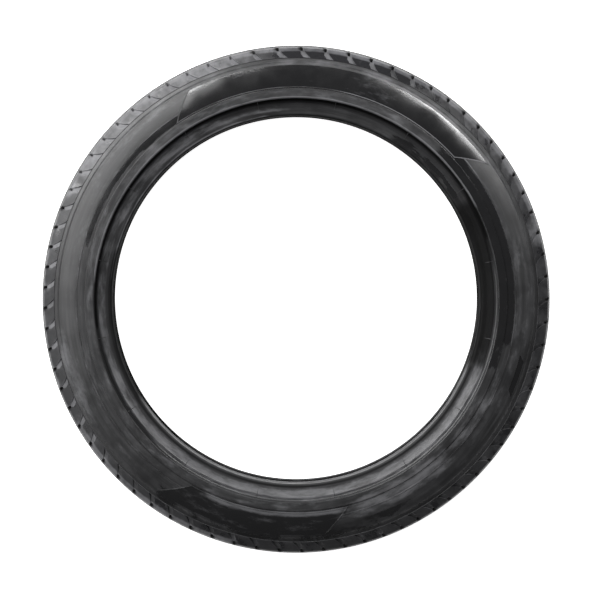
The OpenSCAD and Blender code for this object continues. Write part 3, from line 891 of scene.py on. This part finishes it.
def liner_rubber(rubber):
    """Butyl inner liner, pressed by the curing bladder: smooth and a little shiny, with the fine
    slanted lines of the bladder's air channels."""
    material, tree, output = new_material("butyl_liner_rubber")
    place = add_node(tree, "ShaderNodeTexCoord").outputs["Object"]
    cloud = noise(tree, place, 30.0)
    lines = add_node(tree, "ShaderNodeTexWave", {"Vector": round_coordinates(tree, 3.0, 14.0),
                                                 "Scale": 12.0, "Distortion": 0.6})
    relief = maths(tree, "MULTIPLY", lines.outputs["Fac"], 0.25)
    shader = filmed_rubber(tree, linear(rubber.liner_colour), linear(rubber.haze_and_light_colour),
                           ramp(tree, cloud, 0.35, 0.75, 0.0, 0.16), 0.42, relief)
    tree.links.new(shader, output.inputs[0])
    return material


def studio_floor(colour, glow):
    """Matt white studio floor, lit from below as a light table is."""
    material, tree, output = new_material("matt_studio_floor")
    shader = add_node(tree, "ShaderNodeBsdfPrincipled",
                      {"Base Color": linear(colour), "Roughness": 0.9, "Specular IOR Level": 0.2,
                       "Emission Color": linear(colour), "Emission Strength": glow})
    tree.links.new(shader.outputs[0], output.inputs[0])
    return material


# Operators

class TYRE_OT_tread(bpy.types.Operator):
    """Make the tread with its grooves, slots and shoulder blocks"""

    bl_idname = "tyre.make_tread"
    bl_label = "Make tread"

    def execute(self, context):
        scene = context.scene
        piece = make_tread(scene.tyre_sizes, scene.tyre_tread)
        piece.data.materials.append(tread_rubber(scene.tyre_rubber))
        join_frame(piece)
        return {"FINISHED"}


class TYRE_OT_sidewalls(bpy.types.Operator):
    """Make both sidewalls with their panels, rim protectors, beads and air side"""

    bl_idname = "tyre.make_sidewalls"
    bl_label = "Make sidewalls"

    def execute(self, context):
        scene = context.scene
        wall, liner = sidewall_rubber(scene.tyre_rubber), liner_rubber(scene.tyre_rubber)
        for piece in make_walls(scene.tyre_sizes):
            piece.data.materials.append(wall)
            piece.data.materials.append(liner)
            join_frame(piece)
        return {"FINISHED"}


LIGHTS = (  # name, turn, lean, distance, size, radiance and aimed radius
    ("key", -60, 33, 2.2, (1.8, 0.9), 4.6, 0.0),
    ("strip", 42.5, 35, 1.2, (0.6, 0.06), 65, 0.322),
    ("short_strip", -21, 36, 1.2, (0.4, 0.05), 36, 0.322),
    ("low_left", -48, 60, 2.4, (2.5, 0.9), 7.5, 0.0),
    ("low_right", 28, 52, 2.4, (2.6, 0.5), 4.0, 0.0),
    ("low_side", -110, 60, 2.4, (1.8, 0.5), 2.4, 0.0))
FLOOR_REACH = 60.0
PHOTO_WIDTH, PHOTO_SCALE = 600, 0.7238  # pixels, and pixels per millimetre
PHOTO_MIDDLE = 4.0, -1.1  # pixels from the tyre's middle to the picture's, right and up
SIDE_TILT = -0.15  # how much the camera leans to the side as it leans back


def soft_light(name, turn, lean, distance, size, radiance, aim_radius):
    """An oval area light that the camera doesn't see. It shines on a point of the sidewall at
    aim_radius, from a side (turn) and from a lean away from straight above. size is its length
    along the tyre's circle and its width."""
    turn, lean = math.radians(turn), math.radians(lean)
    side = Vector((math.sin(turn), math.cos(turn), 0))
    along = Vector((math.cos(turn), -math.sin(turn), 0))
    up = Vector((0, 0, 1))
    towards = side * math.sin(lean) + up * math.cos(lean)
    data = bpy.data.lights.new(name, "AREA")
    data.shape, data.size, data.size_y = "ELLIPSE", *size
    data.energy = radiance * math.pi * size[0] * size[1]
    light = bpy.data.objects.new(name, data)
    light.location = side * aim_radius + up * CAD_HIGH.z + towards * distance
    light.rotation_euler = Matrix((along, towards.cross(along), towards)).transposed().to_euler()
    light.visible_camera = False
    bpy.context.scene.collection.objects.link(light)


class TYRE_OT_stage(bpy.types.Operator):
    """Make the pale floor, the soft lights and the camera that looks down on the tyre"""

    bl_idname = "tyre.make_stage"
    bl_label = "Make stage"

    def execute(self, context):
        scene, studio = context.scene, context.scene.tyre_studio
        mesh = bpy.data.meshes.new("floor")
        corners = [(x * FLOOR_REACH, y * FLOOR_REACH, CAD_LOW.z)
                   for x, y in ((-1, -1), (1, -1), (1, 1), (-1, 1))]
        mesh.from_pydata(corners, [], [(0, 1, 2, 3)])
        floor = bpy.data.objects.new("floor", mesh)
        floor.data.materials.append(studio_floor(studio.floor_colour, studio.floor_glow))
        scene.collection.objects.link(floor)

        world = bpy.data.worlds.new("pale_studio")
        world.use_nodes = True
        back = world.node_tree.nodes["Background"]
        back.inputs["Color"].default_value = (1, 1, 1, 1)
        back.inputs["Strength"].default_value = studio.world_strength
        scene.world = world
        scene.view_settings.view_transform = "Standard"

        for light in LIGHTS:
            soft_light(*light)

        camera = bpy.data.cameras.new("camera")
        camera.sensor_width = 36.0
        frame_width = PHOTO_WIDTH / PHOTO_SCALE * MM
        camera.lens = camera.sensor_width * studio.camera_distance / frame_width
        camera.clip_end = 100.0
        eye = bpy.data.objects.new("camera", camera)
        aim = Vector((*PHOTO_MIDDLE, 0)) / PHOTO_SCALE * MM
        tilt = studio.camera_tilt
        away = Vector((SIDE_TILT * math.sin(tilt), math.sin(tilt), math.cos(tilt)))
        eye.location = aim + away * studio.camera_distance
        right = Vector((0, 1, 0)).cross(away).normalized()
        eye.rotation_euler = Matrix((right, away.cross(right), away)).transposed().to_euler()
        scene.collection.objects.link(eye)
        scene.camera = eye
        return {"FINISHED"}


class TYRE_PT_panel(bpy.types.Panel):
    """Sizes, colours and makers of the tyre's pieces"""

    bl_idname = "TYRE_PT_panel"
    bl_label = "Tyre"
    bl_space_type = "VIEW_3D"
    bl_region_type = "UI"
    bl_category = "Tyre"

    def draw(self, context):
        for group in GROUPS:
            box = self.layout.box()
            settings = getattr(context.scene, group)
            for key in settings.__annotations__:
                box.prop(settings, key)
        for operator in MAKERS:
            self.layout.operator(operator.bl_idname)


GROUPS = {"tyre_sizes": TyreSizes, "tyre_tread": TyreTread, "tyre_rubber": TyreRubber,
          "tyre_studio": TyreStudio}
MAKERS = (TYRE_OT_tread, TYRE_OT_sidewalls, TYRE_OT_stage)


def register():
    for cls in (*GROUPS.values(), *MAKERS, TYRE_PT_panel):
        bpy.utils.register_class(cls)
    for name, cls in GROUPS.items():
        setattr(bpy.types.Scene, name, PointerProperty(type=cls))


def unregister():
    for name in GROUPS:
        delattr(bpy.types.Scene, name)
    for cls in (TYRE_PT_panel, *reversed(MAKERS), *reversed(GROUPS.values())):
        bpy.utils.unregister_class(cls)


def main():
    """Makes every piece and the stage."""
    register()
    bpy.ops.tyre.make_tread()
    bpy.ops.tyre.make_sidewalls()
    bpy.ops.tyre.make_stage()


if __name__ == "__main__":
    main()
